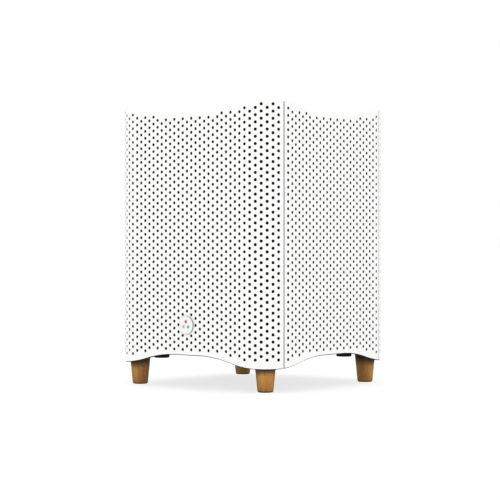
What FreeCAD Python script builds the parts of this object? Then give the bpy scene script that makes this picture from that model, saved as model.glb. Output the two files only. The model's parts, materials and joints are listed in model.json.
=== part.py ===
import FreeCAD, Part
import math
import os

# Free-standing square room air purifier on four turned wooden legs.
# Units are millimetres. The origin is on the floor, under the middle of the body.
# +Z is up, the front face looks along -Y and the right face along +X.

V = FreeCAD.Vector
ORIGIN = V(0, 0, 0)
AXIS_X = V(1, 0, 0)
AXIS_Y = V(0, 1, 0)
AXIS_Z = V(0, 0, 1)

os.makedirs("parts", exist_ok=True)

# ---------------------------------------------------------------- driving dimensions

# Outer shell: a rounded square in plan, whose top and bottom edges rise and fall.
WIDTH = 282.3
CORNER_R = 46.0
TOP_MID = 369.7          # height of the top edge in the middle of a face
TOP_WAVE = 13.6          # how much higher the top edge is at a corner
BOTTOM_MID = 45.9        # height of the bottom edge in the middle of a face
BOTTOM_WAVE = 14.4       # how much lower the bottom edge is at a corner
WAVE_START = 21.0        # the edges are straight to this distance from the middle
WAVE_END = 127.0         # and straight again beyond this one
SHEET = 1.0
SEAM_OFFSET = 23.9       # arc length from the middle of a corner to the seam beside it
SEAM_GAP = 2.6

# Perforation: round holes in staggered columns.
HOLE_R = 2.0
ROW_PITCH = 9.4
ROW_DATUM = 198.6        # height of a hole in the middle column of each face
FLAT_PITCH = 7.62        # column pitch on the flat faces
FLAT_COLUMNS = 12        # columns each side of the middle one
CORNER_PITCH = 7.86      # column pitch along the corner arcs
EDGE_TOP = 5.4           # least height of edge above a hole's centre
EDGE_BOTTOM = 6.8        # least height of edge below one
CORNER_EDGE_BOTTOM = 8.0 # and below one on a corner arc
SHORT_COLUMN = 11        # this column stops short of both edges, on each side of the middle
SHORT_EDGE = 7.5

# Liners: the black screen frames behind the perforated sheet.
LINER_GAP = 0.3
LINER = 2.85
LINER_INSET = 1.0        # the liner ends this far below the sheet's top edge
LINER_DROP = 0.8         # and shows this much below its bottom edge
PANEL_SCREW_X = 70.0     # screws and magnets stand this far each side of a face's middle
CATCH_R = 5.9
CATCH = 0.8              # thickness of the steel plates that the door magnets hold
STRIP_INSET = 0.8        # the seam strips lie this far below the shell's surface

# Legs and the pads beside them.
LEG_PLACE = 112.3
LEG_TOP_R = 15.1
LEG_FOOT_R = 10.6
LEG_EDGE_R = 2.2
LEG_BORE_Z = 22.0        # bottom of the bolt's bore
PAD_PLACE = 91.0
PAD_R = 10.7
PAD_FOOT = 36.0
PAD_EDGE_R = 1.5

# Inner frame.
FRAME_HALF = 136.5
FRAME_R = 42.0
RIM = 3.0
PLATE = 3.0
TRAY_Z = 47.0
SHELF_Z = 66.0
SHELF_TOP = SHELF_Z + PLATE
FENCE_R = 100.0          # inside radius of the fence that guides the filter
FENCE = 3.0
POST_PLACE = 114.0
POST_SIDE = 16.0
POST_SLOT = 4.0
TOP_FRAME_Z = 346.0
TOP_FRAME_TOP = TOP_FRAME_Z + PLATE
TOP_FRAME_RIM = 14.0
DECK_Z = 262.0
DECK_TOP = DECK_Z + PLATE
BRACKET = 2.0
MAGNET_R = 5.0
TRAY_ROW = TRAY_Z + 10         # height of the lower row of panel screws and magnets
FRAME_ROW = TOP_FRAME_Z + 8    # height of the upper row

# Mains inlet and power board, between the tray and the shelf.
INLET_Y = 112.0
INLET_HALF_X = 10.0
INLET_HALF_Y = 6.5
INLET_FLANGE = 1.5
PIN_R = 1.2
PIN_X = 4.3
BOARD_Z = 54.0
BOARD = 1.6
BOARD_TOP = BOARD_Z + BOARD
BOARD_CORNERS = ((-62.0, 34.0), (28.0, 34.0), (-62.0, 92.0), (28.0, 92.0))

# Filter cartridge.
FILTER_R = 99.0
FILTER_BORE_R = 57.0
FILTER_Z0 = SHELF_TOP + 0.5
FILTER_Z1 = 256.5
FILTER_CAP = 3.5
FILTER_LIP = 7.0
FILTER_LIP_WALL = 1.5
PRE_FILTER = 1.8
CARBON = 4.8
PLEATS = 72
STRAP_HALF_ANGLE = 7.0
STRAP_LENGTH = 52.0

# Fan.
SHAFT_R = 4.0
SHAFT_FIT = 0.05
IMPELLER_R = 92.0
EYE_R = 62.0
BACKPLATE_Z = 298.0
BLADE_Z = 272.0
BLADES = 9
MOTOR_R = 38.0
MOTOR_Z0 = 303.0
MOTOR_Z1 = 338.0
MOTOR_SCREW_PLACE = 19.8
BEARING_R = 11.0
BEARING = 6.5
DUCT_R = 112.0
DUCT_WALL = 2.5
NECK_R = 80.5
NECK_Z = 352.0

# Top cover and outlet grille.
COVER_DROP = 3.5         # the cover lies this far below the shell's edge
COVER = 2.5
COVER_BOSS = 98.0        # place of the four screwed bosses
COVER_BOSS_R = 5.0
GRILLE_Z = 369.2
GRILLE_R = 76.0          # inside radius of the grille's outer ring
GRILLE_HUB_R = 22.0
GRILLE_BAR = 1.8
GRILLE_RINGS = 8
GRILLE_RIBS = 16

# Button on the front face.
BUTTON_Z = ROW_DATUM - 12 * ROW_PITCH
BUTTON_R = 12.0
BUTTON_PROUD = 2.1
BUTTON_CAP = 1.2         # thickness of the disc, which stands clear of the shell behind it
BUTTON_BARREL_R = 9.0
BUTTON_HOLE_R = 9.4
BUTTON_FLANGE_R = 11.0   # keeps the button from falling out through its hole
BUTTON_TRAVEL = 0.6
LAMP_R = 2.1
LAMP_PLACE = 4.6
LAMPS = 3

# Fasteners.
BOLT_R = 4.0
SCREW_R = 2.0
SMALL_SCREW_R = 1.5
NUT_ACROSS = 13.0
FIT = 0.05               # radial room round a fixed insert

# ---------------------------------------------------------------- derived sizes

HALF = WIDTH / 2
FLAT_HALF = HALF - CORNER_R
LINER_OUT = HALF - SHEET - LINER_GAP
LINER_IN = LINER_OUT - LINER
SIGNS = ((-1, -1), (1, -1), (-1, 1), (1, 1))
CORNERS = ("front_left", "front_right", "rear_left", "rear_right")

# ---------------------------------------------------------------- helpers


def save(name, shape):
    """Write one sub-part, unwrapping a compound that holds a single solid."""
    if len(shape.Solids) == 1:
        shape = shape.Solids[0]
    shape.exportStep("parts/%s.step" % name)
    print("%-20s solids %2d  volume %10.1f  valid %s"
          % (name, len(shape.Solids), shape.Volume, shape.isValid()))


def box(x0, x1, y0, y1, z0, z1):
    return Part.makeBox(x1 - x0, y1 - y0, z1 - z0, V(x0, y0, z0))


def rod(radius, z0, z1, x=0.0, y=0.0):
    return Part.makeCylinder(radius, z1 - z0, V(x, y, z0))


def rod_y(radius, y0, y1, x, z):
    return Part.makeCylinder(radius, y1 - y0, V(x, y0, z), AXIS_Y)


def ring(outer, inner, z0, z1, x=0.0, y=0.0):
    return rod(outer, z0, z1, x, y).cut(rod(inner, z0 - 1, z1 + 1, x, y))


def turned(points):
    """Solid of revolution about Z from a closed (radius, height) outline."""
    outline = [V(r, 0, z) for r, z in points]
    face = Part.Face(Part.makePolygon(outline + outline[:1]))
    return face.revolve(ORIGIN, AXIS_Z, 360)


def hexagon(across_flats, z0, z1, x, y):
    radius = across_flats / math.sqrt(3)
    angles = [math.radians(60 * k) for k in range(7)]
    points = [V(x + radius * math.cos(a), y + radius * math.sin(a), z0) for a in angles]
    return Part.Face(Part.makePolygon(points)).extrude(V(0, 0, z1 - z0))


def joined(shapes):
    return shapes[0].fuse(shapes[1:])


def without(shape, tools):
    return shape.cut(Part.makeCompound(tools))


def mirrored_x(shape):
    return shape.mirror(ORIGIN, AXIS_X)


def mirrored_y(shape):
    return shape.mirror(ORIGIN, AXIS_Y)


def turned_by(shape, degrees):
    copy = shape.copy()
    copy.rotate(ORIGIN, AXIS_Z, degrees)
    return copy


def at_corners(make, place):
    """One copy of make(x, y) at each corner, as a group of separate solids."""
    return Part.makeCompound([make(sx * place, sy * place) for sx, sy in SIGNS])


def upright_edges(shape):
    return [e for e in shape.Edges if abs(e.tangentAt(e.FirstParameter).z) > 0.9]


def rounded_square(half, radius, z0, z1):
    slab = box(-half, half, -half, half, z0, z1)
    return slab.makeFillet(radius, upright_edges(slab))


# ---------------------------------------------------------------- wavy edges


def wave(distance, height):
    """Rise of a wavy edge: an S of two equal arcs between its two straight stretches."""
    length = WAVE_END - WAVE_START
    radius = (length ** 2 + height ** 2) / (4 * height)
    run = min(max(abs(distance) - WAVE_START, 0.0), length)
    if run < length / 2:
        return radius - math.sqrt(radius ** 2 - run ** 2)
    return height - radius + math.sqrt(radius ** 2 - (length - run) ** 2)


def top_edge(distance):
    return TOP_MID + wave(distance, TOP_WAVE)


def bottom_edge(distance):
    return BOTTOM_MID - wave(distance, BOTTOM_WAVE)


def edge_curve(height_at, shift, x0, x1, y):
    """The wavy edge from x0 to x1 in the plane at y, as lines and arcs."""
    middle = (WAVE_START + WAVE_END) / 2
    breaks = (-WAVE_END, -middle, -WAVE_START, WAVE_START, middle, WAVE_END)
    stops = [x0] + [b for b in breaks if x0 < b < x1] + [x1]
    edges = []
    for a, b in zip(stops, stops[1:]):
        start, half_way, end = (V(x, y, height_at(x) + shift) for x in (a, (a + b) / 2, b))
        straight = abs(a + b) / 2 < WAVE_START or abs(a + b) / 2 > WAVE_END
        curve = Part.LineSegment(start, end) if straight else Part.Arc(start, half_way, end)
        edges.append(curve.toShape())
    return edges


def wavy_face(x0, x1, y, drop_top, drop_bottom, holes=()):
    """Upright face between the two wavy edges, with round holes given as (x, z, radius)."""
    top = edge_curve(top_edge, -drop_top, x0, x1, y)
    bottom = edge_curve(bottom_edge, -drop_bottom, x0, x1, y)
    sides = [Part.makeLine(bottom[k].Vertexes[k].Point, top[k].Vertexes[k].Point) for k in (0, -1)]
    outline = Part.Wire(Part.__sortEdges__(top + bottom + sides))
    wires = [Part.Wire(Part.makeCircle(r, V(x, y, z), AXIS_Y)) for x, z, r in holes]
    return Part.makeFace([outline] + wires, "Part::FaceMakerBullseye")


def between_edges(drop_top, drop_bottom):
    """Solid that trims a corner of the shell to both wavy edges."""
    reach = 2 * HALF
    slab = wavy_face(FLAT_HALF - 30, reach, -reach, drop_top, drop_bottom).extrude(V(0, 2 * reach, 0))
    across = turned_by(wavy_face(-reach, 30 - FLAT_HALF, -reach, drop_top, drop_bottom)
                       .extrude(V(0, 2 * reach, 0)), 90)
    return slab.common(across)


# ---------------------------------------------------------------- shell and liners


def flat_holes():
    """(x, z) of each hole of one flat face, by staggered columns."""
    places = []
    for column in range(-FLAT_COLUMNS, FLAT_COLUMNS + 1):
        x = column * FLAT_PITCH
        below, above = EDGE_BOTTOM, EDGE_TOP
        if abs(column) == SHORT_COLUMN:
            below = above = SHORT_EDGE
        places += [(x, z) for z in column_heights(x, column % 2, below, above)]
    return places


def column_heights(distance, half_row, below, above):
    """Heights of the holes in a column at this distance from the middle of the face."""
    low = bottom_edge(distance) + below
    high = top_edge(distance) - above
    heights = [ROW_DATUM + (n + half_row / 2) * ROW_PITCH for n in range(-20, 21)]
    return [z for z in heights if low <= z <= high]


def flat_sheet(holes):
    """Flat part of the front sheet, from corner arc to corner arc."""
    return wavy_face(-FLAT_HALF, FLAT_HALF, -HALF, 0, 0, holes).extrude(V(0, SHEET, 0))


def flat_liner():
    face = wavy_face(-FLAT_HALF, FLAT_HALF, -LINER_OUT, LINER_INSET, LINER_DROP)
    return face.extrude(V(0, LINER, 0))


def corner_angle(arc_offset):
    """Angle from the front's normal of a place on the front right corner arc."""
    return math.pi / 4 + arc_offset / CORNER_R


def corner_point(radius, angle, z):
    return V(FLAT_HALF + radius * math.sin(angle), -FLAT_HALF - radius * math.cos(angle), z)


def corner_sector(outer, inner, start, end, drop_top, drop_bottom):
    """Curved sheet at the front right corner between two angles."""
    middle = (start + end) / 2
    outside = Part.Arc(*[corner_point(outer, a, 0) for a in (start, middle, end)])
    inside = Part.Arc(*[corner_point(inner, a, 0) for a in (start, middle, end)])
    ends = [Part.makeLine(corner_point(inner, a, 0), corner_point(outer, a, 0)) for a in (start, end)]
    outline = Part.Wire(Part.__sortEdges__([outside.toShape(), inside.toShape()] + ends))
    column = Part.Face(outline).extrude(V(0, 0, 2 * TOP_MID))
    return column.common(between_edges(drop_top, drop_bottom)).Solids[0]


def punch_corner(sheet, columns):
    """Drill the corner's hole columns; odd columns stand on whole rows, even ones between."""
    drills = []
    for column in columns:
        angle = corner_angle(column * CORNER_PITCH)
        spot = corner_point(CORNER_R, angle, 0)
        outwards = V(math.sin(angle), -math.cos(angle), 0)
        for z in column_heights(min(spot.x, -spot.y), (column + 1) % 2, CORNER_EDGE_BOTTOM, EDGE_TOP):
            start = corner_point(CORNER_R - 2 * SHEET, angle, z)
            drills.append(Part.makeCylinder(HOLE_R, 3 * SHEET, start, outwards))
    return without(sheet, drills)


def sheet_corner(start, end, columns):
    sector = corner_sector(CORNER_R, CORNER_R - SHEET, start, end, 0, 0)
    return punch_corner(sector, columns)


def liner_corner(start, end):
    outer = CORNER_R - SHEET - LINER_GAP
    return corner_sector(outer, outer - LINER, start, end, LINER_INSET, LINER_DROP)


def panel_screw_places():
    """(x, z) of the screws that hold a liner to the tray and to the top frame."""
    return [(sx * PANEL_SCREW_X, z) for sx in (-1, 1) for z in (TRAY_ROW, FRAME_ROW)]


def make_shell():
    plain = [(x, z, HOLE_R) for x, z in flat_holes()]
    clear = [h for h in plain if math.hypot(h[0], h[1] - BUTTON_Z) > BUTTON_R + 1]
    front_flat = flat_sheet(clear + [(0, BUTTON_Z, BUTTON_HOLE_R)])
    plain_flat = flat_sheet(plain)
    seam_0 = corner_angle(SEAM_OFFSET - SEAM_GAP / 2)
    seam_1 = corner_angle(SEAM_OFFSET + SEAM_GAP / 2)
    wrap = sheet_corner(0, seam_0, range(-4, 3))
    turn = sheet_corner(seam_1, math.pi / 2, [4])
    save("front_panel", joined([front_flat, wrap, mirrored_x(wrap)]))
    save("back_panel", joined([mirrored_y(plain_flat), mirrored_y(wrap), mirrored_y(mirrored_x(wrap))]))
    right = joined([turned_by(plain_flat, 90), turn, mirrored_y(turn)])
    save("right_panel", right)
    save("left_panel", mirrored_x(right))

    liner_wrap = liner_corner(0, seam_0)
    liner_turn = liner_corner(seam_1, math.pi / 2)
    wide = joined([flat_liner(), liner_wrap, mirrored_x(liner_wrap)])
    narrow = joined([turned_by(flat_liner(), 90), liner_turn, mirrored_y(liner_turn)])
    pilots = [rod_y(SMALL_SCREW_R, -LINER_IN - 1.8, -LINER_IN + 1, x, z) for x, z in panel_screw_places()]
    side_pilots = [turned_by(p, 90) for p in pilots]
    button_hole = rod_y(BUTTON_HOLE_R, -LINER_OUT - 1, -LINER_IN + 1, 0, BUTTON_Z)
    save("front_liner", without(wide, pilots + [button_hole]))
    narrow = without(narrow, side_pilots)
    save("right_liner", narrow)
    save("left_liner", mirrored_x(narrow))
    pockets = [rod_y(CATCH_R + FIT, LINER_IN - 1, LINER_IN + CATCH, x, z) for x, z in panel_screw_places()]
    save("back_liner", without(mirrored_y(wide), pockets))
    plates = [rod_y(CATCH_R, LINER_IN, LINER_IN + CATCH, x, z) for x, z in panel_screw_places()]
    save("catch_plates", Part.makeCompound(plates))

    strip_ends = [corner_angle(SEAM_OFFSET + s * (SEAM_GAP / 2 - 0.3)) for s in (-1, 1)]
    strip = corner_sector(CORNER_R - STRIP_INSET, LINER_IN - FLAT_HALF, *strip_ends, LINER_INSET, 0)
    front_strips = [strip, mirrored_x(strip)]
    save("seam_strips", Part.makeCompound(front_strips + [mirrored_y(s) for s in front_strips]))


# ---------------------------------------------------------------- base


def leg_solid():
    """Tapered leg with a rounded foot edge and a blind bore for its bolt."""
    lean = math.atan2(LEG_TOP_R - LEG_FOOT_R, TRAY_Z)
    knee = V(LEG_FOOT_R - LEG_EDGE_R, 0, LEG_EDGE_R)
    low, bulge, side = (knee + V(math.sin(a), 0, -math.cos(a)) * LEG_EDGE_R
                        for a in (0, math.pi / 4, math.pi / 2 - lean))
    top = V(LEG_TOP_R, 0, TRAY_Z)
    middle = V(0, 0, TRAY_Z)
    edges = [Part.makeLine(ORIGIN, low), Part.Arc(low, bulge, side).toShape()]
    edges += [Part.makeLine(side, top), Part.makeLine(top, middle), Part.makeLine(middle, ORIGIN)]
    leg = Part.Face(Part.Wire(edges)).revolve(ORIGIN, AXIS_Z, 360)
    return leg.cut(rod(BOLT_R + FIT, LEG_BORE_Z, TRAY_Z + 1))


def make_legs():
    leg = leg_solid()
    for name, (sx, sy) in zip(CORNERS, SIGNS):
        placed = leg.copy()
        placed.translate(V(sx * LEG_PLACE, sy * LEG_PLACE, 0))
        save("leg_" + name, placed)


def leg_nut(x, y):
    seat = TRAY_Z + PLATE
    washer = rod(9.0, seat, seat + 1.2, x, y)
    nut = hexagon(NUT_ACROSS, seat + 1.2, seat + 7.7, x, y)
    return washer.fuse(nut).cut(rod(BOLT_R + FIT, TRAY_Z, SHELF_Z, x, y)).removeSplitter()


def base_pad(x, y):
    pad = rod(PAD_R, PAD_FOOT, TRAY_Z, x, y)
    lower_edge = [e for e in pad.Edges if e.BoundBox.ZMax < PAD_FOOT + 0.1]
    return pad.makeFillet(PAD_EDGE_R, lower_edge)


def rim_drills(row):
    """Drills through a frame's rim: screw holes on three sides and magnet bores at the rear."""
    drills = []
    for x, z in panel_screw_places():
        if z == row:
            drill = rod_y(SMALL_SCREW_R + 0.2, -FRAME_HALF - 1, -FRAME_HALF + RIM + 1, x, z)
            drills += [turned_by(drill, angle) for angle in (-90, 0, 90)]
            drills.append(rod_y(MAGNET_R + FIT, FRAME_HALF - RIM - 1, FRAME_HALF + 1, x, z))
    return drills


def tray_solid():
    """Shallow tray with standoffs for the power board and an opening for the mains inlet."""
    floor_top = TRAY_Z + PLATE
    tray = rounded_square(FRAME_HALF, FRAME_R, TRAY_Z, SHELF_Z)
    tray = tray.cut(rounded_square(FRAME_HALF - RIM, FRAME_R - RIM, floor_top, SHELF_Z + 1))
    tray = joined([tray] + [rod(3.5, floor_top, BOARD_Z, x, y) for x, y in BOARD_CORNERS])
    tools = [rod(BOLT_R + 0.3, TRAY_Z - 1, floor_top + 1, sx * LEG_PLACE, sy * LEG_PLACE) for sx, sy in SIGNS]
    tools.append(box(-INLET_HALF_X, INLET_HALF_X, INLET_Y - INLET_HALF_Y, INLET_Y + INLET_HALF_Y,
                     TRAY_Z - 1, floor_top + 1))
    return without(tray, tools + rim_drills(TRAY_ROW))


def shelf_solid():
    """Plate under the filter, with a rounded fence at the front and a guide rail on each side."""
    low, high = SHELF_TOP - 1, SHELF_TOP + FENCE
    fence = ring(FENCE_R + FENCE, FENCE_R, low, high).cut(box(-200, 200, 0, 200, 0, 200))
    rail = box(FENCE_R, FENCE_R + FENCE, -0.5, 124, low, high)
    shelf = joined([rounded_square(FRAME_HALF, FRAME_R, SHELF_Z, SHELF_TOP), fence, rail, mirrored_x(rail)])
    holes = [rod(SCREW_R + 0.2, SHELF_Z - 1, SHELF_TOP + 1, sx * POST_PLACE, sy * POST_PLACE)
             for sx, sy in SIGNS]
    return without(shelf, holes).removeSplitter()


def make_base():
    save("base_tray", tray_solid())
    save("base_pads", at_corners(base_pad, PAD_PLACE))
    save("leg_bolts", at_corners(lambda x, y: rod(BOLT_R, LEG_BORE_Z, SHELF_Z - 6, x, y), LEG_PLACE))
    save("leg_nuts", at_corners(leg_nut, LEG_PLACE))
    save("filter_shelf", shelf_solid())


def heat_sink():
    fins = [box(x, x + 2, 70, 90, BOARD_TOP + 1, BOARD_TOP + 8.4) for x in (6, 10, 14, 18, 22)]
    return joined([box(6, 26, 70, 90, BOARD_TOP, BOARD_TOP + 2)] + fins)


def inlet_solid():
    """Two-pin mains inlet in the floor of the tray, open downwards."""
    half_x, half_y = INLET_HALF_X - FIT, INLET_HALF_Y - FIT
    flange = box(-14, 14, INLET_Y - 9, INLET_Y + 9, TRAY_Z - INLET_FLANGE, TRAY_Z)
    body = box(-half_x, half_x, INLET_Y - half_y, INLET_Y + half_y, TRAY_Z - INLET_FLANGE, TRAY_Z + 16)
    socket = box(-7.8, 7.8, INLET_Y - 4.3, INLET_Y + 4.3, TRAY_Z - 2, TRAY_Z + 13)
    socket = socket.makeFillet(3.5, upright_edges(socket))
    pins = [rod(PIN_R, TRAY_Z + 1, TRAY_Z + 13.5, x, INLET_Y) for x in (-PIN_X, PIN_X)]
    return joined([flange.fuse(body).cut(socket)] + pins).removeSplitter()


def make_power():
    save("power_board", box(-68, 34, 28, 98, BOARD_Z, BOARD_TOP))
    choke = ring(8, 3.5, BOARD_TOP, BOARD_TOP + 6.4, -50, 48)
    transformer = box(-30, -6, 40, 60, BOARD_TOP, BOARD_TOP + 8.9)
    capacitors = [rod(5.0, BOARD_TOP, BOARD_TOP + 8.4, x, 84) for x in (-40, -28, -16)]
    save("power_parts", Part.makeCompound([choke, transformer, heat_sink()] + capacitors))
    save("power_inlet", inlet_solid())


# ---------------------------------------------------------------- inner frame


def post_solid(x, y):
    """Slotted extrusion with a screw bore in its middle."""
    half = POST_SIDE / 2
    low, high = SHELF_TOP - 1, TOP_FRAME_Z + 1
    wide, deep = POST_SLOT / 2, 2.5
    tools = [rod(SCREW_R + FIT, low, high, x, y)]
    for s in (-half, half):
        tools.append(box(x - wide, x + wide, y + s - deep, y + s + deep, low, high))
        tools.append(box(x + s - deep, x + s + deep, y - wide, y + wide, low, high))
    return without(box(x - half, x + half, y - half, y + half, SHELF_TOP, TOP_FRAME_Z), tools)


def screw_up(x, y, seat, length, radius=SCREW_R):
    """Pan-head screw whose head is below its seat and whose shank goes up."""
    head = rod(2 * radius, seat - 1.3 * radius, seat, x, y)
    return head.fuse(rod(radius, seat, seat + length, x, y)).removeSplitter()


def screw_down(x, y, seat, length, radius=SCREW_R):
    head = rod(2 * radius, seat, seat + 1.3 * radius, x, y)
    return head.fuse(rod(radius, seat - length, seat, x, y)).removeSplitter()


def deck_bracket(x, y):
    """Small angle bracket on the post's face that looks towards the middle of the object."""
    side = 1 if y > 0 else -1
    face = y - side * POST_SIDE / 2
    upright_end = face - side * BRACKET
    flange_end = face - side * 10.0
    upright = box(x - 6, x + 6, min(face, upright_end), max(face, upright_end), DECK_Z - 16, DECK_Z)
    flange = box(x - 6, x + 6, min(face, flange_end), max(face, flange_end), DECK_Z - BRACKET, DECK_Z)
    hole = rod(1.8, DECK_Z - 3, DECK_Z + 1, x, face - side * 5.5)
    return upright.fuse(flange).cut(hole).removeSplitter()


def deck_screw_places():
    reach = POST_PLACE - POST_SIDE / 2 - 5.5
    return [(sx * POST_PLACE, sy * reach) for sx, sy in SIGNS]


def deck_solid():
    """Plate that carries the fan, with a bell mouth in its middle and windows for the posts."""
    mouth = turned([(58, DECK_Z), (76, DECK_Z), (76, DECK_TOP), (66, DECK_TOP), (60.5, DECK_Z + 6),
                    (60, DECK_Z + 12), (58, DECK_Z + 12), (58.5, DECK_Z + 4)])
    flare = turned([(0, DECK_Z - 1), (70, DECK_Z - 1), (70, DECK_Z), (62, DECK_Z + 2), (58, DECK_Z + 5),
                    (58, DECK_Z + 13), (0, DECK_Z + 13)])
    deck = rounded_square(FRAME_HALF, FRAME_R, DECK_Z, DECK_TOP)
    deck = deck.cut(rod(70, DECK_Z - 1, DECK_TOP + 1)).fuse(mouth).cut(flare)
    half = POST_SIDE / 2 + 0.2
    window = box(-half, half, -half, half, DECK_Z - 1, DECK_TOP + 1)
    windows = at_corners(lambda x, y: window.translated(V(x, y, 0)), POST_PLACE).Solids
    screw_holes = [rod(1.8, DECK_Z - 1, DECK_TOP + 1, x, y) for x, y in deck_screw_places()]
    return without(deck, windows + screw_holes).removeSplitter()


def top_frame_solid():
    """Shallow tray, open upwards, with a round hole for the duct."""
    top = rounded_square(FRAME_HALF, FRAME_R, TOP_FRAME_Z, TOP_FRAME_Z + TOP_FRAME_RIM)
    top = top.cut(rounded_square(FRAME_HALF - RIM, FRAME_R - RIM, TOP_FRAME_TOP, TOP_FRAME_Z + 20))
    holes = [rod(NECK_R + 4, TOP_FRAME_Z - 1, TOP_FRAME_TOP + 1)]
    for place in (POST_PLACE, COVER_BOSS):
        holes += [rod(SCREW_R + 0.2, TOP_FRAME_Z - 1, TOP_FRAME_TOP + 1, sx * place, sy * place)
                  for sx, sy in SIGNS]
    return without(top, holes + rim_drills(FRAME_ROW))


def panel_screw(x, z):
    """Screw through the front of a frame's rim into the liner."""
    seat = -FRAME_HALF + RIM
    shank = rod_y(SMALL_SCREW_R, -LINER_IN - 1.8, seat, x, z)
    return shank.fuse(rod_y(2 * SMALL_SCREW_R, seat, seat + 2, x, z)).removeSplitter()


def make_frame():
    for name, (sx, sy) in zip(CORNERS, SIGNS):
        save("post_" + name, post_solid(sx * POST_PLACE, sy * POST_PLACE))
    screws = [screw_up(sx * POST_PLACE, sy * POST_PLACE, SHELF_Z, 18) for sx, sy in SIGNS]
    screws += [screw_down(sx * POST_PLACE, sy * POST_PLACE, TOP_FRAME_TOP, 18) for sx, sy in SIGNS]
    save("post_screws", Part.makeCompound(screws))
    save("fan_deck", deck_solid())
    save("deck_brackets", at_corners(deck_bracket, POST_PLACE))
    deck_screws = [screw_down(x, y, DECK_TOP, 10, 1.7) for x, y in deck_screw_places()]
    save("deck_screws", Part.makeCompound(deck_screws))
    save("top_frame", top_frame_solid())
    magnets = [rod_y(MAGNET_R, FRAME_HALF - RIM, FRAME_HALF, x, z) for x, z in panel_screw_places()]
    save("door_magnets", Part.makeCompound(magnets))
    screws = [panel_screw(x, z) for x, z in panel_screw_places()]
    save("panel_screws", Part.makeCompound([turned_by(s, angle) for s in screws for angle in (-90, 0, 90)]))


# ---------------------------------------------------------------- filter cartridge


def pleat_outline(outer, inner, z):
    """Closed zigzag around the axis."""
    points = []
    for k in range(2 * PLEATS):
        angle = math.pi * k / PLEATS
        radius = outer if k % 2 else inner
        points.append(V(radius * math.cos(angle), radius * math.sin(angle), z))
    return Part.makePolygon(points + points[:1])


def cap_lips(flat, tip):
    """(radius, height) outline of a filter cap's two lips, from the outer one to the inner one."""
    inner = FILTER_BORE_R + 2
    wall = FILTER_R - FILTER_LIP_WALL
    return [(FILTER_R, tip), (wall, tip), (wall, flat), (inner, flat), (inner, tip), (FILTER_BORE_R, tip)]


def pleated_wall(low, high):
    """Zigzag wall of filter paper between two closed zigzags."""
    outer = Part.Face(pleat_outline(FILTER_R - 5, FILTER_BORE_R + 11, low))
    inner = Part.Face(pleat_outline(FILTER_R - 8, FILTER_BORE_R + 8, low))
    return outer.cut(inner).Faces[0].extrude(V(0, 0, high - low))


def strap_solid():
    """Pull strap on the rear of the filter, curved round its side."""
    span = math.radians(STRAP_HALF_ANGLE)
    low = FILTER_Z1 - STRAP_LENGTH
    arcs = []
    for r in (FILTER_R, FILTER_R + 1.2):
        arcs.append(Part.Arc(*[V(r * math.sin(a), r * math.cos(a), low) for a in (-span, 0, span)]).toShape())
    ends = [Part.makeLine(arcs[0].Vertexes[k].Point, arcs[1].Vertexes[k].Point) for k in (0, 1)]
    return Part.Face(Part.Wire(Part.__sortEdges__(arcs + ends))).extrude(V(0, 0, STRAP_LENGTH))


def make_filter():
    low, high = FILTER_Z0 + FILTER_CAP, FILTER_Z1 - FILTER_CAP
    lower = [(0, FILTER_Z0), (FILTER_R, FILTER_Z0)] + cap_lips(low, low + FILTER_LIP)
    save("filter_cap_lower", turned(lower + [(FILTER_BORE_R, low), (0, low)]))
    upper = [(FILTER_BORE_R, FILTER_Z1), (FILTER_R, FILTER_Z1)] + cap_lips(high, high - FILTER_LIP)
    save("filter_cap_upper", turned(upper))
    sleeve_r = FILTER_R - FILTER_LIP_WALL - 0.2
    save("pre_filter", ring(sleeve_r, sleeve_r - PRE_FILTER, low, high))
    core_r = FILTER_BORE_R + 2.2
    save("carbon_core", ring(core_r + CARBON, core_r, low, high))
    save("filter_media", pleated_wall(low, high))
    save("filter_seal", ring(FILTER_R - 9, FILTER_BORE_R + 5, FILTER_Z1, DECK_Z - 0.6))
    save("filter_strap", strap_solid())


# ---------------------------------------------------------------- fan


def blade(angle):
    """Backward-curved blade, 2 mm thick, turned about the axis by angle degrees."""
    stations = [(r, math.radians(t)) for r, t in ((46.0, 0), (70.0, -15), (IMPELLER_R - 0.5, -42))]
    path = [V(r * math.cos(t), r * math.sin(t), BLADE_Z) for r, t in stations]
    camber = Part.Circle(*path)
    centre = camber.Center
    sides = [[centre + (p - centre) * (1 + s / camber.Radius) for p in path] for s in (-1, 1)]
    edges = [Part.Arc(*side).toShape() for side in sides]
    edges += [Part.makeLine(sides[0][k], sides[1][k]) for k in (0, 2)]
    outline = Part.Wire(Part.__sortEdges__(edges))
    solid = Part.Face(outline).extrude(V(0, 0, BACKPLATE_Z + 1 - BLADE_Z))
    return turned_by(solid, angle)


def impeller_solid():
    """Wheel of curved blades between a hub plate above and a ring-shaped shroud below."""
    room = turned([(44, 280), (66, 280), (IMPELLER_R + 2, 285.7), (IMPELLER_R + 2, BACKPLATE_Z + 1),
                   (44, BACKPLATE_Z + 1)])
    blades = [blade(360.0 * k / BLADES).common(room).Solids[0] for k in range(BLADES)]
    shroud = turned([(EYE_R, 271), (EYE_R + 2, 271), (66.5, 277.5), (IMPELLER_R, 284), (IMPELLER_R, 286.2),
                     (65.2, 280.2), (EYE_R, 273)])
    plate = rod(IMPELLER_R, BACKPLATE_Z, BACKPLATE_Z + 2)
    hub = turned([(0, 280), (12, 280), (15, 284), (24, BACKPLATE_Z), (0, BACKPLATE_Z)])
    wheel = joined([plate, hub, shroud] + blades)
    return wheel.cut(rod(SHAFT_R + FIT, 270, 310))


def motor_screw_places():
    return [(MOTOR_SCREW_PLACE * sx, MOTOR_SCREW_PLACE * sy) for sx, sy in SIGNS]


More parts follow.
